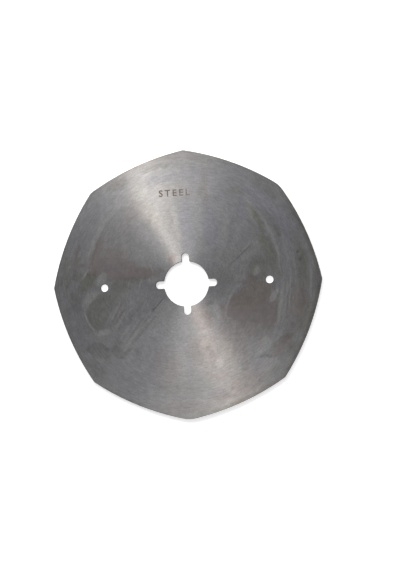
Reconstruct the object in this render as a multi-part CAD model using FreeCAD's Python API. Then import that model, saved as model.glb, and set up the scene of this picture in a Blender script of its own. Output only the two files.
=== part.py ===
import FreeCAD, Part
import math
import os

from FreeCAD import Vector

# Octagonal rotary blade of a hand-held cloth cutter: one flat piece of hardened steel.
# Millimetres. The origin is the bore's centre on the plane of the underside, X runs along the line of
# the two pin holes and Z points up, out of the flat face. The ground bevel is on the underside.

# Outline
side_count = 8
corner_diameter = 125.0       # across two opposite corners, before wear
side_bulge = 2.45             # how far a curved side stands out from the chord between its corners
outline_turn = -0.95          # degrees from the pin-hole line to the nearest corner
corner_radius = 1.5           # a fresh corner
worn_corner_radius = 14.0     # a corner worn blunt
worn_corners = (1, 6)         # counted round from the corner beside +X

# Section
thickness = 1.2
bevel_width = 4.5             # measured inward from the cutting edge, across the middle of a side
edge_land = 0.1               # height that is left at the cutting edge

# Drive: the bore seats on the arbor, its keyways take the drive collar, the pin holes its two pins
bore_diameter = 21.0
keyway_count = 4
keyway_width = 3.5
keyway_depth = 3.8            # from the bore's wall to the tip of the round end
pin_hole_diameter = 3.5
pin_hole_spacing = 77.0       # centre to centre
hole_edge_break = 0.1         # small chamfer round every hole, on both faces

# How far a cutting tool runs past the metal that it removes
overrun = 1.0

corner_r = corner_diameter / 2
half_step = 180.0 / side_count
half_chord = corner_r * math.sin(math.radians(half_step))
side_r = (half_chord ** 2 + side_bulge ** 2) / (2 * side_bulge)
mid_side_r = corner_r * math.cos(math.radians(half_step)) + side_bulge
side_offset = side_r - mid_side_r
bevel_slope = (thickness - edge_land) / bevel_width
bore_r = bore_diameter / 2
keyway_end_r = keyway_width / 2
keyway_end_centre = bore_r + keyway_depth - keyway_end_r
pin_hole_r = pin_hole_diameter / 2


def polar(radius, degrees, height=0.0):
    angle = math.radians(degrees)
    return Vector(radius * math.cos(angle), radius * math.sin(angle), height)


def corner_angle(index):
    return outline_turn + 2 * half_step * index


def side_centre(index):
    """The centre of a side's arc, beyond the blade's own centre."""
    return polar(-side_offset, corner_angle(index) + half_step)


def corner_round(index):
    """The three points of a corner's arc, which runs smoothly into the sides before and after it."""
    radius = worn_corner_radius if index in worn_corners else corner_radius
    half = math.radians(half_step)
    reach = math.sqrt((side_r - radius) ** 2 - (side_offset * math.sin(half)) ** 2)
    centre_distance = reach - side_offset * math.cos(half)
    centre = polar(centre_distance, corner_angle(index))
    points = []
    for side in (index - 1, index):
        outward = (centre - side_centre(side)).normalize()
        points.append(side_centre(side) + outward * side_r)
    points.insert(1, polar(centre_distance + radius, corner_angle(index)))
    return points


def outline_face():
    edges = []
    for index in range(side_count):
        start, tip, end = corner_round(index)
        next_start = corner_round((index + 1) % side_count)[0]
        middle = polar(mid_side_r, corner_angle(index) + half_step)
        edges.append(Part.Arc(start, tip, end).toShape())
        edges.append(Part.Arc(end, middle, next_start).toShape())
    return Part.Face(Part.Wire(edges))


def bevel_cutter(index):
    """A ring about a side's arc centre, with the conical face that grinds that side."""
    inner = side_r - bevel_width - overrun
    outer = side_r + overrun
    low = -overrun * bevel_slope
    high = (bevel_width + overrun) * bevel_slope
    section = Part.makePolygon([
        Vector(inner, 0, low),
        Vector(outer, 0, low),
        Vector(outer, 0, high),
        Vector(inner, 0, low),
    ])
    ring = Part.Face(section).revolve(Vector(0, 0, 0), Vector(0, 0, 1), 360)
    ring.translate(side_centre(index))
    return ring


def through_cylinder(radius, centre):
    base = Vector(centre.x, centre.y, -overrun)
    return Part.makeCylinder(radius, thickness + 2 * overrun, base)


def keyway_cutter(index):
    """A slot from the bore's centre outward, with a full round end."""
    turn = 360.0 * index / keyway_count
    corner = Vector(0, -keyway_end_r, -overrun)
    straight = Part.makeBox(keyway_end_centre, keyway_width, thickness + 2 * overrun, corner)
    straight.rotate(Vector(0, 0, 0), Vector(0, 0, 1), turn)
    return straight.fuse(through_cylinder(keyway_end_r, polar(keyway_end_centre, turn)))


def drive_cutters():
    cutters = [through_cylinder(bore_r, Vector(0, 0, 0))]
    cutters += [keyway_cutter(index) for index in range(keyway_count)]
    cutters += [through_cylinder(pin_hole_r, polar(pin_hole_spacing / 2, turn)) for turn in (0, 180)]
    return cutters


def hole_rims(pierced):
    """The edges of every hole on the two flat faces, which are the inner wires of those faces."""
    rims = []
    for face in pierced.Faces:
        if isinstance(face.Surface, Part.Plane) and abs(face.normalAt(0, 0).z) > 0.5:
            inner_wires = [wire for wire in face.Wires if not wire.isSame(face.OuterWire)]
            rims += [edge for wire in inner_wires for edge in wire.Edges]
    return rims


def blade():
    blank = outline_face().extrude(Vector(0, 0, thickness))
    ground = blank.cut([bevel_cutter(index) for index in range(side_count)])
    pierced = ground.cut(drive_cutters()).removeSplitter()
    return pierced.makeChamfer(hole_edge_break, hole_rims(pierced))


os.makedirs("parts", exist_ok=True)
shape = blade()
shape.exportStep("parts/blade.step")
print("blade", "valid", shape.isValid(), "solids", len(shape.Solids), "volume", round(shape.Volume, 1))
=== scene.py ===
import math

import bmesh
import bpy
from bpy.props import FloatProperty, FloatVectorProperty, PointerProperty, StringProperty
from bpy.types import NodeSocket, Operator, Panel, PropertyGroup
from mathutils import Matrix, Vector


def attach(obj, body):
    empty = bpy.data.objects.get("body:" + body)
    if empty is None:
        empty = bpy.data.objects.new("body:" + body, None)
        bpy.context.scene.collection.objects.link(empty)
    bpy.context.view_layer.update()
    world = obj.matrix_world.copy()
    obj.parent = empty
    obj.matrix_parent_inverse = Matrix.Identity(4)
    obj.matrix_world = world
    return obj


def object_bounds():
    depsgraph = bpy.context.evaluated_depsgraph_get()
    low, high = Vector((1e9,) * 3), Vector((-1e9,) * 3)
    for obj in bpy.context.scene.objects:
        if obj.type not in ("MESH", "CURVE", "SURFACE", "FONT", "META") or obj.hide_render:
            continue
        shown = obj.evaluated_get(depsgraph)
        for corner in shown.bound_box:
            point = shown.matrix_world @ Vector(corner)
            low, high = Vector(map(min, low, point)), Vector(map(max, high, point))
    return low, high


bl_info = {
    "name": "Octagonal cloth cutter blade",
    "version": (1, 0, 0),
    "blender": (4, 5, 0),
    "location": "View3D > Sidebar > Blade",
    "description": "Gives the ground steel blade its finish, its etched material mark and its stage",
    "category": "Object",
}

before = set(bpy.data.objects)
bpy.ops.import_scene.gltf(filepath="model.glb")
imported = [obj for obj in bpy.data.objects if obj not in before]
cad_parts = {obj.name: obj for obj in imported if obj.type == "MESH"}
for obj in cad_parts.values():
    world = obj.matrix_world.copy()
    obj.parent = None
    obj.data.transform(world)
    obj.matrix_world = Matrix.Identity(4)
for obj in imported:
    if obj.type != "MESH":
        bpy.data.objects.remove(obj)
cad_low, cad_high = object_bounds()

MM = 0.001

# The blade, as the frame has it: eight bulging sides, turned a little from the line of the pin holes, and a
# bevel on the underside.
SIDES = 8
CORNER_RADIUS = 62.5 * MM
SIDE_BULGE = 2.45 * MM
OUTLINE_TURN = math.radians(-0.95)
BEVEL_WIDTH = 4.5 * MM
BEVEL_DEPTH = 1.1 * MM
PIN_CIRCLE = 38.5 * MM
UPPER_FACE = cad_high[2]

# Its surfaces are told apart by how far they face up, from 1 straight up to -1 straight down. The upper face
# does so by more than UPPER_FACING. The walls and edge breaks of the holes face up or down by less than
# WALL_FACING.
UPPER_FACING = 0.5
WALL_FACING = 0.75
BEVEL_FACING = -math.cos(math.atan(BEVEL_DEPTH / BEVEL_WIDTH))
FACING_SLACK = 0.01

# Most of a noise texture lies between these two values.
NOISE_LOW = 0.25
NOISE_HIGH = 0.75

# How rough the steel is in its grinding lines and between them, and how deep they are drawn.
LEAST_ROUGHNESS = 0.47
MOST_ROUGHNESS = 0.53
LINE_RELIEF = 0.004 * MM

# The rest of the grain. Streaks and bands run round the bore, and have these sizes halfway out from it.
STREAK_LENGTH = 1.7 * MM
STREAK_SPACING = 0.75 * MM
BAND_LENGTH = 14 * MM
BAND_SPACING = 1.8 * MM
GRIT_PER_MM = 1.5
MOTTLE_PER_MM = 0.3

# By what share each part of the grain makes the steel darker and lighter.
LINE_SHADE = 0.10
STREAK_SHADE = 0.095
GRIT_SHADE = 0.12
BAND_SHADE = 0.03
MOTTLE_SHADE = 0.07

# Noise moves the edges of smears and of wiped strokes about, by up to half of this many mm.
WANDER_PER_MM = 0.22
SMEAR_WANDER = 4.5
STROKE_WANDER = 1.5

# Dried oil clots, so its strength varies between these shares.
CLOTS_PER_MM = 0.55
THINNEST_OIL = 0.6
THICKEST_OIL = 1.15

# A wiped stroke starts to take oil off at the first strength, and leaves only OIL_LEFT from the second on.
WIPING_STARTS = 0.5
WIPING_ENDS = 0.9
OIL_LEFT = 0.1

# Brown oil starts to fill the grain at the first strength, and hides GRAIN_HIDDEN of it from the second on.
FILLING_STARTS = 0.6
FILLING_ENDS = 0.9
GRAIN_HIDDEN = 0.65

# The stained band inside the cutting edge is strongest towards one side, an angle from +X, where its extra
# strength is painted shade. It grows from RIM_STAIN_LEAST to full strength between two distances that way,
# in mm.
# RIM_FADE is the share of its width over which it fades, on both sides of that width. A thin darker line
# along the edge, which is painted edge shade, fades out between two distances from it, in mm.
RIM_SHADE_SIDE = math.radians(-20)
RIM_SHADE_GROWS = 10.0
RIM_SHADE_FULL = 50.0
RIM_STAIN_LEAST = 0.2
RIM_FADE = 0.7
EDGE_SHADE_FADES = 0.2
EDGE_SHADE_ENDS = 1.0
EDGE_SHADE_STRENGTH = 0.7

# The etched mark. A capital letter is CAPITAL_SHARE of the built-in font's size, and its strokes are made
# bolder by a share of the letter's height. Towards one end, up to MARK_WEAR of the mark is worn off.
CAPITAL_SHARE = 0.69
LETTER_SPACING = 1.4
BOLDER_SHARE = 1 / 36
MARK_HALF_LENGTH = 8.0 * MM
MARK_WEAR = 0.8
WEAR_PER_MM = 1.1

# The floor. The camera sees light added to its paper, less of it near the blade, where the shadow falls. The
# ring of paper that shows through the pin holes gets some more, and PIN_RING is half its width.
FLOOR_LEVEL = -0.01 * MM
NEAR_BLADE = 80 * MM
FAR_OFF = 350 * MM
NEAR_LIFT = 0.5
FAR_LIFT = 0.8
PIN_RING = 3 * MM
PIN_RING_LIFT = 0.25

# Smears on the upper face. Each is a rounded patch: the x and y of its centre, half its length and half its
# width, the turn of its length from +X in degrees, how far its two ends bow to the left of that, how soft
# its edge is and how strong it is, both from 0 to 1. Lengths are in mm.
BROWN_SMEARS = (
    (29.9, -9.3, 12.0, 7.1, 35, 0.0, 0.08, 0.75),
    (27.5, -13.0, 10.6, 6.5, -8, 0.0, 0.10, 1.0),
    (36.0, -13.5, 8.6, 5.6, -80, 0.0, 0.08, 1.0),
    (28.0, -20.5, 10.0, 5.5, -10, 0.0, 0.5, 0.7),
    (37.5, -23.0, 4.0, 2.0, 60, 0.0, 0.5, 0.5),
    (43.4, -29.6, 7.0, 3.0, 46, 0.0, 0.2, 0.85),
    (36.5, -25.5, 3.0, 0.8, -60, 0.3, 0.4, 0.8),
    (-33.8, 9.0, 13.0, 5.8, -8, 0.0, 0.25, 0.95),
    (-22.0, 6.4, 9.0, 3.0, -8, 0.0, 0.3, 1.0),
    (-42.2, 15.8, 9.5, 2.2, 66, -1.0, 0.35, 1.0),
    (-23.5, 35.0, 7.5, 4.0, 55, 0.0, 0.5, 0.4),
    (-29.0, 23.0, 11.0, 8.0, 60, 0.0, 0.5, 0.25),
    (-16.5, 34.0, 10.0, 3.2, 126, 0.0, 0.6, 0.35),
    (-14.0, 58.2, 15.0, 1.2, 194, 1.8, 0.6, 0.35),
    (1.0, 59.6, 8.0, 1.8, 180, 0.5, 0.6, 0.3),
    (53.6, -11.0, 8.0, 0.8, 78, 0.5, 0.5, 0.8),
    (50.5, -12.5, 9.0, 5.0, 78, 0.9, 0.5, 0.75),
    (7.0, -16.0, 7.5, 4.5, -65, 0.0, 0.4, 0.7),
    (8.0, -31.0, 8.5, 7.0, -80, 0.0, 0.5, 0.6),
    (21.0, -27.0, 10.0, 6.0, -60, 0.0, 0.5, 0.6),
    (25.0, -47.0, 11.0, 5.5, 35, 0.0, 0.6, 0.6),
    (20.0, -51.0, 11.0, 4.5, 20, 0.0, 0.6, 0.55),
    (-11.0, -38.0, 9.0, 6.5, 90, 0.0, 0.5, 0.4),
    (-6.0, -57.0, 12.0, 4.0, 0, 0.0, 0.6, 0.3),
    (-29.0, 4.6, 9.0, 1.6, -2, 0.0, 0.5, 1.0),
    (-34.0, 16.4, 7.5, 2.6, -8, 0.0, 0.6, 0.75),
    (-51.4, 13.6, 7.5, 1.4, 79, 0.0, 0.6, 0.8),
    (-31.0, 48.6, 6.5, 1.6, 30, 0.0, 0.5, 0.4),
    (10.6, 44.0, 10.0, 1.5, 93, 0.0, 0.6, 0.4),
    (17.0, -30.0, 11.0, 4.0, -78, 0.0, 0.6, 0.5),
    (9.6, -9.2, 2.6, 1.0, 20, 0.0, 0.5, 0.8),
    (15.4, -10.9, 2.4, 1.0, -20, 0.0, 0.5, 0.9),
    (22.6, 2.4, 2.2, 1.2, 0, 0.0, 0.5, 0.2),
    (-6.2, 11.8, 3.0, 1.6, 60, 0.0, 0.5, 1.0),
    (29.6, 0.2, 3.8, 2.2, 12, 0.0, 0.4, 0.9),
    (18.2, -19.0, 6.0, 1.6, -72, 0.0, 0.5, 0.7),
    (33.2, -27.5, 3.0, 1.0, 80, 0.0, 0.5, 0.7),
    (14.0, -42.4, 7.0, 2.2, 0, 0.0, 0.6, 0.6),
    (-12.0, 6.8, 3.0, 1.2, -20, 0.0, 0.5, 0.7),
    (-33.4, -12.5, 7.5, 3.6, 70, 0.0, 0.5, 0.35),
    (-33.5, -25.4, 3.4, 1.8, 60, 0.0, 0.5, 0.35),
    (53.4, -12.0, 7.0, 0.7, 77, 0.4, 0.4, 1.0),
    (49.0, -19.0, 6.0, 4.0, 70, 0.0, 0.6, 0.65),
    (-49.0, 11.0, 2.4, 1.0, 0, 0.0, 0.5, 0.9),
    (17.5, -4.5, 3.0, 2.0, 0, 0.0, 0.6, 0.3),
)
OLIVE_SMEARS = (
    (-42.3, -11.4, 8.8, 5.2, 75, 0.0, 0.1, 0.75),
    (-37.0, -4.8, 5.0, 3.6, 20, 0.0, 0.4, 0.6),
    (-46.4, 3.2, 5.8, 3.0, 48, 0.0, 0.3, 1.0),
    (-30.8, 0.4, 4.5, 2.8, 0, 0.0, 0.4, 0.7),
    (-56.5, 8.0, 9.0, 2.0, 262, 0.7, 0.5, 0.6),
    (38.8, 13.0, 10.5, 2.8, 107, 1.3, 0.3, 0.9),
    (34.2, 28.6, 8.0, 1.3, 116, 0.9, 0.4, 1.0),
    (34.0, 5.6, 6.0, 5.0, 40, 0.0, 0.35, 0.8),
    (43.3, 22.6, 4.0, 1.1, 105, 0.3, 0.3, 0.9),
    (39.5, 29.5, 5.0, 0.8, 122, 0.3, 0.5, 0.6),
    (24.0, 41.8, 4.0, 1.6, 5, 0.0, 0.5, 0.7),
    (54.5, 9.0, 10.0, 1.6, 99, 0.9, 0.6, 1.0),
    (54.0, 2.0, 16.0, 4.0, 93, 2.2, 0.7, 0.5),
    (43.2, 5.0, 6.0, 1.2, 94, 0.4, 0.6, 0.5),
    (47.2, -32.0, 3.0, 1.6, 60, 0.0, 0.5, 0.6),
    (30.8, -7.0, 9.8, 5.4, 28, 0.0, 0.2, 0.5),
    (-51.5, 6.0, 3.2, 1.8, 10, 0.0, 0.5, 0.7),
    (-32.0, -9.5, 7.0, 2.2, 80, 0.0, 0.6, 0.3),
    (-26.0, 3.0, 5.0, 1.4, 0, 0.0, 0.6, 0.6),
    (55.0, -16.0, 10.0, 3.0, 72, 0.8, 0.6, 0.7),
    (42.5, -13.0, 8.0, 1.6, 86, 0.3, 0.5, 0.5),
)
GREY_SMEARS = (
    (-42.0, -29.2, 6.0, 3.8, -30, 0.0, 0.25, 0.9),
    (-33.2, -30.4, 4.0, 2.5, -40, 0.0, 0.25, 1.0),
    (-29.0, -30.6, 3.6, 1.0, 35, 0.0, 0.3, 1.0),
    (-23.2, -30.6, 2.8, 1.9, 75, 0.0, 0.3, 0.8),
    (-52.5, -6.0, 5.0, 3.2, 100, 0.0, 0.35, 0.9),
    (-56.0, -10.5, 3.0, 2.0, 60, 0.0, 0.4, 0.8),
    (-51.2, -13.7, 32.0, 8.0, 285, 9.6, 0.7, 0.32),
    (5.0, -47.5, 12.0, 5.0, 5, 0.0, 0.6, 0.6),
    (-50.4, 19.0, 9.0, 0.9, 249, 0.8, 0.5, 0.5),
    (-13.0, 21.5, 9.5, 2.4, 122, 0.0, 0.6, 0.3),
    (-17.0, 28.0, 4.0, 2.0, 120, 0.0, 0.5, 0.5),
    (45.2, -26.4, 4.2, 2.5, 42, 0.0, 0.35, 0.9),
    (10.5, -49.8, 3.6, 2.2, 0, 0.0, 0.5, 0.6),
    (34.8, -35.2, 4.2, 0.7, 8, 0.0, 0.4, 0.9),
    (25.4, -38.8, 3.2, 2.2, 90, 0.0, 0.5, 0.8),
    (-20.8, -20.0, 7.5, 0.8, 45, 0.0, 0.6, 0.45),
    (-12.0, 55.4, 7.0, 1.3, 12, -0.3, 0.5, 0.8),
    (-7.0, 27.5, 9.0, 2.4, 101, 0.0, 0.6, 0.6),
    (53.5, 6.0, 8.5, 2.0, 97, 0.6, 0.6, 0.6),
    (-8.0, -48.2, 10.0, 2.8, -5, 0.0, 0.6, 0.6),
    (10.0, -33.0, 7.0, 1.4, -75, 0.0, 0.5, 0.5),
    (-43.4, -38.0, 6.5, 3.0, -50, 0.0, 0.5, 0.8),
    (31.0, 26.0, 4.5, 1.5, 105, 0.0, 0.5, 0.5),
    (49.8, 30.0, 12.0, 1.6, 122, 1.4, 0.6, 0.6),
    (21.8, 24.0, 9.0, 0.7, 78, 0.0, 0.6, 0.6),
    (24.6, 30.0, 8.0, 1.1, 74, 0.0, 0.6, 0.4),
    (20.0, 17.0, 7.0, 1.0, 62, 0.0, 0.6, 0.35),
    (-24.5, -12.0, 7.0, 0.7, 50, 0.0, 0.5, 0.6),
    (-20.0, -13.5, 6.0, 0.6, 47, 0.0, 0.5, 0.5),
    (11.0, 57.2, 8.0, 1.7, -11, 0.0, 0.5, 0.7),
    (-30.0, 47.8, 5.0, 2.2, 28, 0.0, 0.5, 0.8),
    (13.4, 13.0, 3.0, 2.0, 60, 0.0, 0.5, 0.5),
    (11.0, -9.6, 1.6, 0.8, 40, 0.0, 0.5, 0.9),
    (39.5, 42.4, 8.0, 2.8, 135, 0.8, 0.6, 0.8),
    (10.0, 54.0, 8.0, 2.6, 168, 0.3, 0.6, 0.4),
    (13.0, -52.4, 6.0, 2.0, 12, 0.0, 0.6, 0.6),
    (35.5, 30.0, 5.0, 2.0, 128, 0.0, 0.6, 0.5),
    (-32.6, -25.6, 3.2, 1.4, 58, 0.0, 0.5, 0.5),
    (9.0, 40.0, 9.0, 2.6, 95, 0.0, 0.6, 0.4),
    (-12.6, 50.0, 3.0, 2.0, 20, 0.0, 0.6, 0.5),
    (40.2, -40.2, 17.0, 3.0, 45, 2.4, 0.6, 0.55),
    (0.5, -57.0, 12.0, 2.6, 0, 1.2, 0.6, 0.4),
    (24.0, -44.0, 9.0, 8.0, 30, 0.0, 0.7, 0.35),
    (59.6, -2.0, 5.0, 1.8, 88, 0.2, 0.5, 1.0),
    (-59.6, 1.5, 5.0, 1.8, 269, 0.2, 0.5, 0.5),
    (-9.2, 16.0, 4.0, 2.4, 120, 0.0, 0.6, 0.5),
    (9.5, -16.5, 4.0, 2.5, -60, 0.0, 0.6, 0.4),
    (17.8, 2.4, 3.6, 3.0, 0, 0.0, 0.6, 0.45),
)
VIOLET_SMEARS = (
    (-45.0, 31.0, 15.0, 4.5, 236, 2.2, 0.5, 0.25),
    (41.5, 31.0, 19.0, 4.0, 127, 3.4, 0.5, 1.0),
    (12.0, 27.0, 12.0, 3.8, 95, 0.0, 0.3, 1.0),
    (27.5, 33.5, 6.5, 2.2, 85, 0.0, 0.5, 0.9),
    (20.5, 33.0, 4.0, 1.5, 90, 0.0, 0.5, 0.6),
    (8.0, 50.5, 10.0, 3.5, 170, 0.6, 0.5, 0.6),
    (-49.5, -17.0, 10.0, 2.5, 290, 1.0, 0.5, 0.6),
    (-24.0, -10.0, 12.0, 8.0, 45, 0.0, 0.6, 0.3),
    (-9.0, 50.3, 8.0, 2.6, 12, 0.0, 0.5, 1.0),
    (46.0, 28.0, 8.0, 2.4, 117, 0.7, 0.5, 1.0),
    (-34.0, 9.5, 7.0, 2.4, -5, 0.0, 0.5, 0.8),
    (12.0, -51.0, 5.0, 2.2, 5, 0.0, 0.5, 0.8),
    (32.8, 3.8, 2.4, 1.4, 70, 0.0, 0.4, 1.0),
    (1.8, 27.0, 11.0, 3.2, 94, 0.0, 0.6, 0.9),
    (32.0, -40.0, 5.0, 3.0, 35, 0.0, 0.6, 0.8),
    (-19.0, -36.0, 16.0, 8.0, 62, 0.0, 0.7, 0.5),
    (20.0, 40.0, 12.0, 7.0, 60, 0.0, 0.7, 0.4),
)
WIPED_STROKES = (
    (-40.2, 26.9, 14.1, 1.1, 239, 2.6, 0.6, 0.6),
    (-44.2, 17.5, 6.5, 1.2, 250, 0.4, 0.4, 0.7),
    (-45.4, -4.4, 5.0, 2.1, 40, -0.6, 0.4, 0.85),
    (-39.6, -20.8, 4.2, 1.5, 12, 0.5, 0.5, 0.9),
    (-46.9, -15.6, 6.5, 0.5, 296, 1.6, 0.5, 0.9),
    (-33.6, -11.0, 5.5, 0.7, 62, 0.0, 0.4, 0.8),
    (-31.6, -11.5, 5.0, 0.6, 62, 0.0, 0.4, 0.7),
    (-35.5, -12.0, 4.5, 0.5, 62, 0.0, 0.4, 0.5),
    (-39.6, 4.4, 4.0, 2.1, 60, 0.0, 0.4, 0.9),
    (-25.5, -2.5, 3.0, 1.4, 60, 0.0, 0.5, 0.5),
    (-15.5, 3.0, 3.0, 1.8, 20, 0.0, 0.5, 0.6),
    (-26.8, -25.0, 7.6, 1.0, 52, 0.0, 0.5, 0.5),
    (-17.0, -22.5, 8.0, 1.2, 46, 0.0, 0.5, 0.4),
    (-17.0, -20.0, 18.0, 10.0, 60, 0.0, 0.6, 0.25),
    (-25.0, -6.0, 9.0, 6.0, 10, 0.0, 0.6, 0.5),
    (41.2, 18.6, 15.4, 0.75, 108, 2.7, 0.5, 0.75),
    (32.6, 4.0, 2.8, 1.5, 70, 0.0, 0.5, 0.85),
    (31.5, 15.0, 6.0, 3.0, 30, 0.0, 0.6, 0.4),
    (27.5, 11.0, 10.0, 1.2, 36, 0.0, 0.5, 0.5),
    (20.0, 9.0, 11.0, 6.0, 36, 0.0, 0.6, 0.35),
    (25.0, 1.8, 3.0, 2.0, -10, 0.0, 0.5, 0.6),
    (46.0, 28.0, 8.0, 2.2, 117, 0.7, 0.6, 0.35),
    (43.2, -11.0, 10.0, 1.1, 80, 0.45, 0.5, 0.85),
    (40.1, -7.5, 3.5, 1.35, 58, 0.0, 0.25, 1.0),
    (14.0, -12.5, 4.5, 1.8, 100, 0.0, 0.5, 0.6),
    (19.0, -5.0, 4.5, 1.0, 55, 0.0, 0.5, 0.4),
    (35.0, -29.6, 4.4, 2.7, 55, 0.0, 0.3, 0.7),
    (57.3, -3.0, 7.0, 0.6, 87, 0.4, 0.4, 0.6),
    (14.0, -37.0, 2.2, 1.8, 0, 0.0, 0.5, 0.5),
    (-16.5, 34.0, 9.0, 3.4, 128, 0.0, 0.6, 0.6),
    (-20.0, 42.0, 5.0, 3.4, 120, 0.0, 0.6, 0.6),
    (-33.0, 12.0, 15.0, 8.0, -10, 0.0, 0.6, 0.45),
    (-5.0, 46.0, 9.0, 6.0, 100, 0.0, 0.6, 0.3),
    (12.0, 27.0, 12.0, 3.2, 95, 0.0, 0.6, 0.25),
    (-42.4, 23.0, 5.5, 1.0, 64, -0.3, 0.5, 0.75),
    (-42.5, -23.0, 5.5, 2.5, -12, 0.0, 0.6, 0.4),
    (-47.2, 6.8, 2.2, 0.5, 52, 0.0, 0.5, 0.9),
    (-39.4, -12.3, 1.8, 1.1, -40, 0.0, 0.6, 0.6),
    (-3.8, 30.0, 9.0, 1.4, 98, 0.0, 0.6, 0.35),
    (18.0, -33.0, 8.0, 3.0, -75, 0.0, 0.6, 0.35),
    (36.5, -38.8, 5.5, 2.6, 38, 0.0, 0.6, 0.55),
    (30.5, 34.5, 5.0, 1.4, 112, 0.0, 0.6, 0.45),
    (46.3, -4.5, 3.2, 0.7, 85, 0.0, 0.5, 0.7),
    (-21.5, 1.0, 3.0, 0.5, 66, 0.0, 0.5, 0.7),
    (-27.0, 1.5, 3.5, 0.5, 70, 0.0, 0.5, 0.6),
    (-19.0, 9.5, 3.0, 0.4, 110, 0.0, 0.5, 0.7),
    (-16.0, 8.0, 2.6, 0.4, 115, 0.0, 0.5, 0.8),
    (19.6, 30.0, 7.0, 1.3, 83, 0.0, 0.6, 0.4),
    (-22.0, -15.0, 7.0, 0.5, 49, 0.0, 0.5, 0.6),
    (-26.0, -10.0, 6.0, 0.5, 51, 0.0, 0.5, 0.6),
    (-29.0, -20.6, 6.0, 0.7, 50, 0.0, 0.5, 0.6),
    (45.0, -12.0, 8.0, 0.5, 80, 0.3, 0.5, 0.5),
    (50.5, 4.0, 12.0, 0.5, 92, 1.4, 0.6, 0.4),
    (-54.5, 14.0, 9.0, 0.5, 253, 0.7, 0.6, 0.4),
    (-36.6, 32.5, 7.0, 0.6, 229, 0.7, 0.6, 0.4),
    (-31.4, -15.4, 5.5, 0.8, 60, 0.0, 0.5, 0.8),
    (50.0, -9.0, 6.0, 1.5, 80, 0.0, 0.6, 0.4),
    (46.2, 16.0, 7.0, 1.0, 103, 0.6, 0.6, 0.4),
    (8.0, 16.0, 4.0, 2.0, 60, 0.0, 0.6, 0.3),
    (7.5, -27.5, 2.5, 2.0, 0, 0.0, 0.6, 0.3),
    (-4.0, -38.0, 8.0, 2.2, 88, 0.0, 0.6, 0.3),
    (47.6, -6.0, 8.0, 0.5, 84, 0.3, 0.5, 0.7),
    (17.0, 33.6, 4.0, 2.6, 80, 0.0, 0.6, 0.4),
    (30.8, -7.0, 9.8, 5.6, 28, 0.0, 0.2, 0.22),
    (20.0, -7.5, 5.6, 0.6, 64, 0.0, 0.5, 0.8),
    (23.8, -2.4, 2.8, 0.6, 36, 0.0, 0.5, 0.75),
    (17.8, -14.0, 3.0, 0.5, 80, 0.0, 0.5, 0.5),
    (28.0, 15.2, 3.6, 0.4, 46, 0.0, 0.5, 0.7),
    (31.4, 15.6, 3.0, 0.4, 52, 0.0, 0.5, 0.6),
    (25.4, 4.6, 2.6, 0.4, 72, 0.0, 0.5, 0.6),
)
SCRATCHES = (
    (-13.6, -9.1, 3.9, 0.35, 47, 0.0, 0.4, 0.9),
    (-16.0, -11.3, 1.1, 0.7, 47, 0.0, 0.4, 1.0),
    (-25.0, -20.4, 5.5, 0.45, 51, 0.0, 0.6, 0.45),
    (-23.2, -23.4, 5.6, 0.6, 44, 0.0, 0.6, 0.45),
    (-18.4, -14.8, 4.0, 0.4, 46, 0.0, 0.6, 0.5),
    (-17.5, -17.0, 5.0, 0.35, 45, 0.0, 0.6, 0.4),
    (-38.6, 25.6, 14.0, 0.35, 239, 2.6, 0.5, 0.35),
    (-38.0, -28.6, 1.5, 0.8, 20, 0.0, 0.6, 0.5),
    (25.8, 12.1, 7.9, 0.3, 41, 0.0, 0.6, 0.7),
    (52.0, 12.0, 0.8, 0.5, 20, 0.0, 0.5, 1.0),
    (52.9, 8.6, 1.0, 0.6, 70, 0.0, 0.5, 0.8),
)

# The camera, at the photo's viewing angle, in mm. The focal length and the height of the photo, both in
# pixels, give its lens.
CAMERA_PLACE = Vector((65.28, -41.43, 503.28))
CAMERA_AIM = Vector((6.34, -0.93, 1.2))
CAMERA_UP = Vector((0.0525, 0.9959, 0.0742))
SENSOR_HEIGHT = 36
FOCAL_PIXELS = 1100
PHOTO_HEIGHT_PIXELS = 570
CAMERA_LENS = SENSOR_HEIGHT * FOCAL_PIXELS / PHOTO_HEIGHT_PIXELS

# Softboxes: name, colour, azimuth and elevation in degrees, distance, width and height in m, power in W.
# The ground lines draw each one out into a pair of fans at its own azimuth.
SOFTBOXES = (
    ("fan_strip", "FFF7EF", 114.9, 35, 0.60, 0.099, 0.146, 0.73),
    ("broad_box", "FFFAF5", 107.1, 35, 0.60, 0.446, 0.214, 1.33),
    ("wide_fill", "FEFDFF", 97.6, 35, 0.60, 1.243, 0.214, 1.41),
    ("left_fill", "FCFEFF", 146.0, 35, 0.45, 0.30, 0.20, 0.08),
    ("right_fill", "FCFEFF", 38.0, 35, 0.45, 0.40, 0.20, 0.05),
)


def linear(hex_code):
    """Linear red, green, blue and alpha of an sRGB hex colour."""
    shares = [int(hex_code[i:i + 2], 16) / 255 for i in (0, 2, 4)]
    return (*[s / 12.92 if s <= 0.04045 else ((s + 0.055) / 1.055) ** 2.4 for s in shares], 1.0)


def node(tree, kind, inputs=None, **settings):
    """Adds one shader node. inputs maps a socket to its value or to the output that feeds it."""
    made = tree.nodes.new("ShaderNode" + kind)
    for name, value in settings.items():
        setattr(made, name, value)
    for socket, value in (inputs or {}).items():
        if isinstance(value, NodeSocket):
            tree.links.new(value, made.inputs[socket])
        else:
            made.inputs[socket].default_value = value
    return made


def new_material(name):
    material = bpy.data.materials.new(name)
    material.use_nodes = True
    material.node_tree.nodes.clear()
    return material


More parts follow.
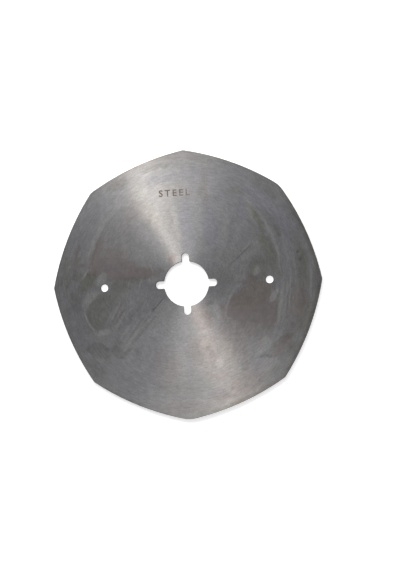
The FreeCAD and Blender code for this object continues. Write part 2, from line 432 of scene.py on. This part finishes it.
class GroundSteel(PropertyGroup):
    steel: FloatVectorProperty(
        name="Steel", description="Ground steel, wiped clean",
        subtype="COLOR", size=4, min=0, max=1, default=linear("CBCBC7"))
    haze: FloatVectorProperty(
        name="Haze", description="Tint of the thin film of oil on all that isn't wiped clean",
        subtype="COLOR", size=4, min=0, max=1, default=linear("E7E7EC"))
    brown_oil: FloatVectorProperty(
        name="Brown oil", description="Tint of a thick, dried film",
        subtype="COLOR", size=4, min=0, max=1, default=linear("F2E6E1"))
    olive_oil: FloatVectorProperty(
        name="Olive oil", description="Tint of an older, greenish film",
        subtype="COLOR", size=4, min=0, max=1, default=linear("E9E8DB"))
    grey_oil: FloatVectorProperty(
        name="Grey oil", description="Tint of oil with grinding dust in it",
        subtype="COLOR", size=4, min=0, max=1, default=linear("E5E5E2"))
    violet_oil: FloatVectorProperty(
        name="Violet oil", description="Tint of a film so thin that it shows a colour of its own",
        subtype="COLOR", size=4, min=0, max=1, default=linear("F9F9FF"))
    scratch: FloatVectorProperty(
        name="Scratch", description="Tint of a scratch with dirt in it",
        subtype="COLOR", size=4, min=0, max=1, default=linear("D8D8D8"))
    line_spacing: FloatProperty(
        name="Line spacing", description="Distance from one grinding line to the next",
        default=0.5 * MM, min=0.05 * MM, unit="LENGTH", subtype="DISTANCE", precision=5)
    line_length: FloatProperty(
        name="Line length", description="How far a grinding line runs before it fades, halfway out",
        default=2.6 * MM, min=0.5 * MM, unit="LENGTH", subtype="DISTANCE", precision=4)
    # Tints the stain of the band inside the cutting edge, and its painted shade: the band's extra strength
    # towards one side and the thin line along the edge.
    rim_stain_and_shade: FloatVectorProperty(
        name="Rim stain", description="Tint of the band inside the cutting edge",
        subtype="COLOR", size=4, min=0, max=1, default=linear("D6D3C8"))
    rim_width: FloatProperty(
        name="Rim width", description="Width of the stained band inside the cutting edge",
        default=1.6 * MM, min=0.5 * MM, unit="LENGTH", subtype="DISTANCE", precision=4)
    # Painted shade: a dark tint on all upright walls, those of the holes and the narrow side along the edge.
    hole_wall_shade: FloatVectorProperty(
        name="Hole scale", description="Tint of the dark scale left inside the holes",
        subtype="COLOR", size=4, min=0, max=1, default=linear("7C787A"))


class EtchedMark(PropertyGroup):
    text: StringProperty(
        name="Text", description="What the blade is made of, etched near one side", default="STEEL")
    letter_height: FloatProperty(
        name="Letter height", description="Height of a capital letter",
        default=3.0 * MM, min=0.5 * MM, unit="LENGTH", subtype="DISTANCE", precision=4)
    place: FloatVectorProperty(
        name="Place", description="Middle of the mark, from the bore's centre",
        size=2, default=(-3.9 * MM, 42.5 * MM), unit="LENGTH", subtype="XYZ", precision=4)
    depth: FloatProperty(
        name="Depth", description="Height of the raised oxide that the etching leaves",
        default=0.008 * MM, min=0.001 * MM, unit="LENGTH", subtype="DISTANCE", precision=6)
    oxide: FloatVectorProperty(
        name="Oxide", description="Dark brown etching oxide",
        subtype="COLOR", size=4, min=0, max=1, default=linear("74604F"))


class Studio(PropertyGroup):
    paper: FloatVectorProperty(
        name="Paper", description="The pale floor", subtype="COLOR", size=4, min=0, max=1,
        default=linear("F1F1F1"))
    floor_size: FloatProperty(
        name="Floor size", description="Length of the square floor's side",
        default=40.0, min=1.0, unit="LENGTH", subtype="DISTANCE")
    room_light: FloatVectorProperty(
        name="Room light", description="The even light of the room", subtype="COLOR", size=4, min=0, max=1,
        default=linear("FAFAFF"))
    room_strength: FloatProperty(
        name="Room strength", description="Strength of the room's even light", default=0.39, min=0)


def smear_group():
    """A node group that adds one smear. The place's third coordinate carries how strong the smears so far
    are, which makes the shader work them out one after another. All at once, they would overfill it."""
    group = bpy.data.node_groups.new("smear", "ShaderNodeTree")
    vectors, floats = ("Place", "Centre", "Turn", "Half Size"), ("Bow", "Softness", "Strength")
    for kind, names in (("Vector", vectors), ("Float", floats)):
        for name in names:
            group.interface.new_socket(name, in_out="INPUT", socket_type="NodeSocket" + kind)
    group.interface.new_socket("Place", in_out="OUTPUT", socket_type="NodeSocketVector")
    given = group.nodes.new("NodeGroupInput").outputs
    own = node(group, "Mapping", {"Vector": given["Place"], "Location": given["Centre"],
                                  "Rotation": given["Turn"], "Scale": given["Half Size"]},
               vector_type="TEXTURE").outputs[0]
    axes = node(group, "SeparateXYZ", {0: own}).outputs
    squared = node(group, "Math", {0: axes["X"], 1: axes["X"]}, operation="MULTIPLY").outputs[0]
    bowed = node(group, "Math", {0: squared, 1: given["Bow"]}, operation="MULTIPLY").outputs[0]
    across = node(group, "Math", {0: axes["Y"], 1: bowed}, operation="SUBTRACT").outputs[0]
    flat = node(group, "CombineXYZ", {"X": axes["X"], "Y": across}).outputs[0]
    reach = node(group, "VectorMath", {0: flat}, operation="LENGTH").outputs["Value"]
    inner = node(group, "Math", {0: 1.0, 1: given["Softness"]}, operation="SUBTRACT").outputs[0]
    outer = node(group, "Math", {0: 1.0, 1: given["Softness"]}, operation="ADD").outputs[0]
    film = node(group, "MapRange", {"Value": reach, "From Min": inner, "From Max": outer,
                                    "To Min": given["Strength"], "To Max": 0.0},
                interpolation_type="SMOOTHSTEP").outputs[0]
    strongest = node(group, "Math", {0: axes["Z"], 1: film}, operation="MAXIMUM").outputs[0]
    carried = node(group, "CombineXYZ", {"Z": strongest}).outputs[0]
    place = node(group, "VectorMath", {0: given["Place"], 1: (1, 1, 0), 2: carried},
                 operation="MULTIPLY_ADD").outputs[0]
    group.links.new(place, group.nodes.new("NodeGroupOutput").inputs["Place"])
    return group


def smeared(tree, group, place, smears):
    """How strong the strongest of these smears is at each place, from 0 to 1."""
    for x, y, half_length, half_width, turn, bow, softness, strength in smears:
        place = node(tree, "Group", {
            "Place": place, "Centre": (x, y, 0), "Turn": (0, 0, math.radians(turn)),
            "Half Size": (half_length, half_width, 1), "Bow": bow / half_width, "Softness": softness,
            "Strength": strength}, node_tree=group).outputs[0]
    return node(tree, "SeparateXYZ", {0: place}).outputs["Z"]


def rim_distance(tree, flat):
    """Distance in mm from the cutting edge, whose eight arcs are folded onto one."""
    half_step = math.pi / SIDES
    half_chord = CORNER_RADIUS * math.sin(half_step)
    side_radius = (half_chord ** 2 + SIDE_BULGE ** 2) / (2 * SIDE_BULGE)
    side_offset = side_radius - CORNER_RADIUS * math.cos(half_step) - SIDE_BULGE
    turned = node(tree, "VectorRotate", {"Vector": flat, "Angle": -OUTLINE_TURN},
                  rotation_type="Z_AXIS").outputs[0]
    axes = node(tree, "SeparateXYZ", {0: turned}).outputs
    angle = node(tree, "Math", {0: axes["Y"], 1: axes["X"]}, operation="ARCTAN2").outputs[0]
    folded = node(tree, "Math", {0: angle, 1: 2 * half_step, 2: 0.0}, operation="WRAP").outputs[0]
    centred = node(tree, "Math", {0: folded, 1: half_step}, operation="SUBTRACT").outputs[0]
    reach = node(tree, "VectorMath", {0: flat}, operation="LENGTH").outputs["Value"]
    straight = node(tree, "CombineXYZ", {"X": reach}).outputs[0]
    side = node(tree, "VectorRotate", {"Vector": straight, "Angle": centred},
                rotation_type="Z_AXIS").outputs[0]
    shifted = node(tree, "VectorMath", {0: side, 1: (side_offset / MM, 0, 0)}, operation="ADD").outputs[0]
    radius = node(tree, "VectorMath", {0: shifted}, operation="LENGTH").outputs["Value"]
    return node(tree, "Math", {0: side_radius / MM, 1: radius}, operation="SUBTRACT").outputs[0]


def rim_stain_and_shade_strength(tree, flat, width):
    """How strong the rim's stain and painted shade are at each place, from 0 to 1, for a band this wide in
    mm.
    """
    from_edge = rim_distance(tree, flat)
    # Towards this side the band gets stronger: painted shade on top of the stain.
    aside = node(tree, "VectorMath", {0: flat, 1: (math.cos(RIM_SHADE_SIDE), math.sin(RIM_SHADE_SIDE), 0)},
                 operation="DOT_PRODUCT").outputs["Value"]
    most = node(tree, "MapRange", {"Value": aside, "From Min": RIM_SHADE_GROWS, "From Max": RIM_SHADE_FULL,
                                   "To Min": RIM_STAIN_LEAST, "To Max": 1.0},
                interpolation_type="SMOOTHSTEP").outputs[0]
    band = node(tree, "MapRange", {"Value": from_edge, "From Min": width * (1 - RIM_FADE),
                                   "From Max": width * (1 + RIM_FADE), "To Min": most, "To Max": 0.0},
                interpolation_type="SMOOTHSTEP").outputs[0]
    # A thin line of painted shade along the edge.
    line = node(tree, "MapRange", {"Value": from_edge, "From Min": EDGE_SHADE_FADES,
                                   "From Max": EDGE_SHADE_ENDS, "To Min": EDGE_SHADE_STRENGTH,
                                   "To Max": 0.0}).outputs[0]
    return node(tree, "Math", {0: band, 1: line}, operation="MAXIMUM").outputs[0]


def circled(tree, flat, length, spacing, detail):
    """Noise drawn out along circles about the bore, of a given length and spacing halfway out."""
    heading = node(tree, "VectorMath", {0: flat}, operation="NORMALIZE").outputs[0]
    radius = node(tree, "VectorMath", {0: flat}, operation="LENGTH").outputs["Value"]
    round_it = node(tree, "VectorMath", {0: heading, "Scale": CORNER_RADIUS / 2 / length},
                    operation="SCALE").outputs[0]
    rings = node(tree, "Math", {0: radius, 1: spacing / MM}, operation="DIVIDE").outputs[0]
    lift = node(tree, "CombineXYZ", {"Z": rings}).outputs[0]
    where = node(tree, "VectorMath", {0: round_it, 1: lift}, operation="ADD").outputs[0]
    return node(tree, "TexNoise", {"Vector": where, "Scale": 1.0, "Detail": detail}).outputs["Fac"]


def ground_steel_shader(tree, colour, lines):
    """The shader of steel that was ground in circles: what it reflects is drawn out across the lines."""
    roughness = node(tree, "MapRange", {"Value": lines, "From Min": NOISE_LOW, "From Max": NOISE_HIGH,
                                        "To Min": LEAST_ROUGHNESS, "To Max": MOST_ROUGHNESS}).outputs[0]
    relief = node(tree, "Bump", {"Height": lines, "Strength": 0.4, "Distance": LINE_RELIEF}).outputs[0]
    tangent = node(tree, "Tangent", direction_type="RADIAL", axis="Z").outputs[0]
    steel = node(tree, "BsdfPrincipled", {
        "Base Color": colour, "Metallic": 1.0, "Roughness": roughness, "Anisotropic": 1.0,
        "Anisotropic Rotation": 0.25, "Tangent": tangent, "Normal": relief}).outputs[0]
    node(tree, "OutputMaterial", {"Surface": steel})


def flat_place(tree):
    """Where a point is on the face of the blade, in mm from the bore's centre."""
    place = node(tree, "TexCoord").outputs["Object"]
    return node(tree, "VectorMath", {0: place, 1: (1 / MM, 1 / MM, 0)}, operation="MULTIPLY").outputs[0]


def shaded(tree, colour, noise, shade):
    """A colour made darker and lighter by noise, by up to a share of it."""
    share = node(tree, "MapRange", {"Value": noise, "From Min": NOISE_LOW, "From Max": NOISE_HIGH,
                                    "To Min": 1 - shade, "To Max": 1 + shade}).outputs[0]
    return node(tree, "VectorMath", {0: colour, "Scale": share}, operation="SCALE").outputs[0]


def ground_carbon_steel(finish):
    """Hardened carbon steel, ground flat while it turns: fine lines in circles about the bore draw the light
    out into bright fans, under films of dried oil that stain it brown, olive and violet."""
    material = new_material("ground_carbon_steel")
    tree = material.node_tree
    flat = flat_place(tree)
    facing = node(tree, "SeparateXYZ", {0: node(tree, "TexCoord").outputs["Normal"]}).outputs["Z"]
    upper = node(tree, "Math", {0: facing, 1: UPPER_FACING}, operation="GREATER_THAN").outputs[0]
    bevel = node(tree, "Math", {0: facing, 1: BEVEL_FACING, 2: FACING_SLACK}, operation="COMPARE").outputs[0]
    wall = node(tree, "Math", {0: facing, 1: 0.0, 2: WALL_FACING}, operation="COMPARE").outputs[0]

    # The real lines are about 0.05 mm apart, too fine to show. They and the streaks in which they run
    # together are drawn as coarse as they need to be.
    lines = circled(tree, flat, finish.line_length, finish.line_spacing, 2.0)
    streaks = circled(tree, flat, STREAK_LENGTH, STREAK_SPACING, 1.0)
    bands = circled(tree, flat, BAND_LENGTH, BAND_SPACING, 2.0)
    grit = node(tree, "TexNoise", {"Vector": flat, "Scale": GRIT_PER_MM, "Detail": 2.0}).outputs["Fac"]
    mottle = node(tree, "TexNoise", {"Vector": flat, "Scale": MOTTLE_PER_MM, "Detail": 3.0}).outputs["Fac"]
    clots = node(tree, "TexNoise", {"Vector": flat, "Scale": CLOTS_PER_MM, "Detail": 4.0,
                                    "Roughness": 0.65}).outputs["Fac"]
    clotted = node(tree, "MapRange", {"Value": clots, "From Min": 0.3, "From Max": 0.7,
                                      "To Min": THINNEST_OIL, "To Max": THICKEST_OIL},
                   clamp=False).outputs[0]

    wander = node(tree, "TexNoise", {"Vector": flat, "Scale": WANDER_PER_MM, "Detail": 4.0,
                                     "Roughness": 0.65}).outputs["Color"]
    shift = node(tree, "VectorMath", {0: wander, 1: (0.5, 0.5, 0.5)}, operation="SUBTRACT").outputs[0]
    uneven, nearly_even = (
        node(tree, "VectorMath", {0: shift, 1: (far, far, 0), 2: flat}, operation="MULTIPLY_ADD").outputs[0]
        for far in (SMEAR_WANDER, STROKE_WANDER))
    group = smear_group()
    rim = rim_stain_and_shade_strength(tree, flat, finish.rim_width / MM)
    wiped = smeared(tree, group, nearly_even, WIPED_STROKES)
    wiped = node(tree, "Math", {0: wiped, 1: upper}, operation="MULTIPLY").outputs[0]
    bare = node(tree, "Math", {0: wiped, 1: bevel}, operation="MAXIMUM").outputs[0]

    oily = node(tree, "MapRange", {"Value": wiped, "From Min": WIPING_STARTS, "From Max": WIPING_ENDS,
                                   "To Min": 1.0, "To Max": OIL_LEFT}).outputs[0]
    oily = node(tree, "Math", {0: oily, 1: upper}, operation="MULTIPLY").outputs[0]

    def on_top(film, broken):
        """A film on the upper face alone, less where it is wiped off, and broken up or even."""
        film = node(tree, "Math", {0: film, 1: oily}, operation="MULTIPLY").outputs[0]
        if broken:
            film = node(tree, "Math", {0: film, 1: clotted}, operation="MULTIPLY", use_clamp=True).outputs[0]
        return film

    brown = on_top(smeared(tree, group, uneven, BROWN_SMEARS), True)
    films = (
        (node(tree, "Math", {0: 1.0, 1: bare}, operation="SUBTRACT").outputs[0], finish.haze),
        (brown, finish.brown_oil),
        (on_top(smeared(tree, group, uneven, OLIVE_SMEARS), True), finish.olive_oil),
        (on_top(smeared(tree, group, uneven, GREY_SMEARS), True), finish.grey_oil),
        (on_top(smeared(tree, group, uneven, VIOLET_SMEARS), False), finish.violet_oil),
        (on_top(smeared(tree, group, flat, SCRATCHES), False), finish.scratch),
        # The rim's stain, with painted shade towards one side and along the edge.
        (on_top(rim, True), finish.rim_stain_and_shade),
        # Painted shade on the upright walls of the holes and of the edge.
        (wall, finish.hole_wall_shade),
    )
    colour = tuple(finish.steel)
    for film, tint in films:
        colour = node(tree, "Mix", {"Factor": film, "A": colour, "B": tuple(tint)},
                      data_type="RGBA", blend_type="MULTIPLY").outputs["Result"]
    smooth = colour
    for noise, shade in ((lines, LINE_SHADE), (streaks, STREAK_SHADE), (grit, GRIT_SHADE)):
        colour = shaded(tree, colour, noise, shade)
    # Thick oil fills the lines and hides most of the grain.
    filled = node(tree, "MapRange", {"Value": brown, "From Min": FILLING_STARTS, "From Max": FILLING_ENDS,
                                     "To Min": 0.0, "To Max": GRAIN_HIDDEN}).outputs[0]
    colour = node(tree, "Mix", {"Factor": filled, "A": colour, "B": smooth},
                  data_type="RGBA").outputs["Result"]
    for noise, shade in ((bands, BAND_SHADE), (mottle, MOTTLE_SHADE)):
        colour = shaded(tree, colour, noise, shade)
    ground_steel_shader(tree, colour, lines)
    return material


def etched_oxide(finish, mark):
    """Marking acid leaves a dark brown oxide on the steel. Handling has worn it thin towards one end."""
    material = new_material("etched_oxide")
    tree = material.node_tree
    flat = flat_place(tree)
    lines = circled(tree, flat, finish.line_length, finish.line_spacing, 2.0)
    along = node(tree, "SeparateXYZ", {0: flat}).outputs["X"]
    worn = node(tree, "MapRange", {"Value": along, "From Min": (mark.place[0] - MARK_HALF_LENGTH) / MM,
                                   "From Max": (mark.place[0] + MARK_HALF_LENGTH) / MM}).outputs[0]
    patchy = node(tree, "TexNoise", {"Vector": flat, "Scale": WEAR_PER_MM, "Detail": 2.0}).outputs["Fac"]
    for share in (patchy, MARK_WEAR):
        worn = node(tree, "Math", {0: worn, 1: share}, operation="MULTIPLY").outputs[0]
    colour = node(tree, "Mix", {"Factor": worn, "A": tuple(mark.oxide), "B": tuple(finish.steel)},
                  data_type="RGBA").outputs["Result"]
    ground_steel_shader(tree, shaded(tree, colour, lines, LINE_SHADE), lines)
    return material


class BLADE_OT_grind(Operator):
    """Give the blade its ground steel finish"""
    bl_idname = "blade.grind"
    bl_label = "Grind blade"

    def execute(self, context):
        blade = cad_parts["blade"]
        blade.data.materials.clear()
        blade.data.materials.append(ground_carbon_steel(context.scene.ground_steel))
        return {"FINISHED"}


class BLADE_OT_etch(Operator):
    """Etch the material mark on the upper face"""
    bl_idname = "blade.etch"
    bl_label = "Etch mark"

    def execute(self, context):
        mark = context.scene.etched_mark
        text = bpy.data.curves.new("etched_text", "FONT")
        text.body = mark.text
        text.align_x, text.align_y = "CENTER", "CENTER"
        text.size = mark.letter_height / CAPITAL_SHARE
        text.space_character = LETTER_SPACING
        text.extrude = mark.depth
        text.offset = mark.letter_height * BOLDER_SHARE
        text.resolution_u = 3
        holder = bpy.data.objects.new("etched_text", text)
        mesh = bpy.data.meshes.new_from_object(holder)
        bpy.data.objects.remove(holder)
        mesh.transform(Matrix.Translation((*mark.place, UPPER_FACE)))
        # The letters come with their caps and sides apart, which are joined into closed shells.
        shell = bmesh.new()
        shell.from_mesh(mesh)
        bmesh.ops.remove_doubles(shell, verts=shell.verts, dist=mark.depth / 10)
        bmesh.ops.recalc_face_normals(shell, faces=shell.faces)
        shell.to_mesh(mesh)
        shell.free()
        piece = bpy.data.objects.new("material_mark", mesh)
        context.scene.collection.objects.link(piece)
        mesh.materials.append(etched_oxide(context.scene.ground_steel, mark))
        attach(piece, "root")
        return {"FINISHED"}


class BLADE_OT_set_stage(Operator):
    """Set the floor, the lamps and the camera"""
    bl_idname = "blade.set_stage"
    bl_label = "Set stage"

    def execute(self, context):
        studio = context.scene.studio
        self.add_room(context, studio)
        self.add_floor(context, studio)
        for softbox in SOFTBOXES:
            self.add_softbox(context, *softbox)
        self.add_camera(context)
        context.scene.view_settings.view_transform = "Standard"
        return {"FINISHED"}

    @staticmethod
    def add_room(context, studio):
        """The room gives an even light. The camera itself sees white beyond the floor."""
        world = bpy.data.worlds.new("studio")
        world.use_nodes = True
        tree = world.node_tree
        tree.nodes.clear()
        room = node(tree, "Background", {"Color": tuple(studio.room_light),
                                         "Strength": studio.room_strength}).outputs[0]
        white = node(tree, "Background", {"Color": (1, 1, 1, 1), "Strength": 1.0}).outputs[0]
        seen = node(tree, "LightPath").outputs["Is Camera Ray"]
        both = node(tree, "MixShader", {0: seen, 1: room, 2: white}).outputs[0]
        node(tree, "OutputWorld", {"Surface": both})
        context.scene.world = world

    def add_floor(self, context, studio):
        half = studio.floor_size / 2
        corners = [(-half, -half), (half, -half), (half, half), (-half, half)]
        sheet = bpy.data.meshes.new("floor")
        sheet.from_pydata([(x, y, FLOOR_LEVEL) for x, y in corners], [], [(0, 1, 2, 3)])
        floor = bpy.data.objects.new("floor", sheet)
        context.scene.collection.objects.link(floor)
        sheet.materials.append(self.matt_paper(studio))

    @staticmethod
    def matt_paper(studio):
        """Matt background paper, uncoated: it scatters light evenly, and the camera sees it as white."""
        material = new_material("matt_paper")
        tree = material.node_tree
        path = node(tree, "LightPath").outputs
        seen = path["Is Camera Ray"]
        for ray in ("Is Glossy Ray", "Is Transmission Ray"):
            seen = node(tree, "Math", {0: seen, 1: path[ray]}, operation="MAXIMUM").outputs[0]
        place = node(tree, "TexCoord").outputs["Object"]
        away = node(tree, "VectorMath", {0: place}, operation="LENGTH").outputs["Value"]
        lift = node(tree, "MapRange", {"Value": away, "From Min": NEAR_BLADE, "From Max": FAR_OFF,
                                       "To Min": NEAR_LIFT, "To Max": FAR_LIFT}).outputs[0]
        # The paper in the pin holes lies in the shadow of their walls, which would make them look too small.
        in_ring = node(tree, "Math", {0: away, 1: PIN_CIRCLE, 2: PIN_RING}, operation="COMPARE").outputs[0]
        lift = node(tree, "Math", {0: in_ring, 1: PIN_RING_LIFT, 2: lift},
                    operation="MULTIPLY_ADD").outputs[0]
        lift = node(tree, "Math", {0: seen, 1: lift}, operation="MULTIPLY").outputs[0]
        paper = node(tree, "BsdfDiffuse", {"Color": tuple(studio.paper)}).outputs[0]
        glow = node(tree, "Emission", {"Strength": lift}).outputs[0]
        both = node(tree, "AddShader", {0: paper, 1: glow}).outputs[0]
        node(tree, "OutputMaterial", {"Surface": both})
        return material

    @staticmethod
    def add_softbox(context, name, colour, azimuth, elevation, distance, width, height, power):
        lamp = bpy.data.lights.new(name, "AREA")
        lamp.shape = "RECTANGLE"
        lamp.size, lamp.size_y = width, height
        lamp.energy = power
        lamp.color = linear(colour)[:3]
        around, up = math.radians(azimuth), math.radians(elevation)
        towards = Vector((math.cos(around) * math.cos(up), math.sin(around) * math.cos(up), math.sin(up)))
        box = bpy.data.objects.new(name, lamp)
        box.location = towards * distance
        box.rotation_mode = "QUATERNION"
        box.rotation_quaternion = (-towards).to_track_quat("-Z", "Y")
        context.scene.collection.objects.link(box)

    @staticmethod
    def add_camera(context):
        camera = bpy.data.objects.new("camera", bpy.data.cameras.new("camera"))
        camera.data.lens = CAMERA_LENS
        camera.location = CAMERA_PLACE * MM
        look = (CAMERA_AIM - CAMERA_PLACE).normalized()
        right = look.cross(CAMERA_UP).normalized()
        camera.rotation_mode = "QUATERNION"
        camera.rotation_quaternion = Matrix((right, right.cross(look), -look)).transposed().to_quaternion()
        context.scene.collection.objects.link(camera)
        context.scene.camera = camera


class BLADE_PT_panel(Panel):
    """The blade's sizes, colours and steps"""
    bl_label = "Cloth cutter blade"
    bl_idname = "BLADE_PT_panel"
    bl_space_type = "VIEW_3D"
    bl_region_type = "UI"
    bl_category = "Blade"

    def draw(self, context):
        for group, operator in STEPS:
            box = self.layout.box()
            values = getattr(context.scene, group)
            for name in values.__annotations__:
                box.prop(values, name)
            box.operator(operator)


PROPERTIES = {"ground_steel": GroundSteel, "etched_mark": EtchedMark, "studio": Studio}
OPERATORS = (BLADE_OT_grind, BLADE_OT_etch, BLADE_OT_set_stage)
STEPS = tuple(zip(PROPERTIES, (operator.bl_idname for operator in OPERATORS)))


def register():
    for made in (*PROPERTIES.values(), *OPERATORS, BLADE_PT_panel):
        bpy.utils.register_class(made)
    for name, group in PROPERTIES.items():
        setattr(bpy.types.Scene, name, PointerProperty(type=group))


def unregister():
    for name in PROPERTIES:
        delattr(bpy.types.Scene, name)
    for made in reversed((*PROPERTIES.values(), *OPERATORS, BLADE_PT_panel)):
        bpy.utils.unregister_class(made)


def main():
    register()
    bpy.ops.blade.grind()
    bpy.ops.blade.etch()
    bpy.ops.blade.set_stage()


if __name__ == "__main__":
    main()
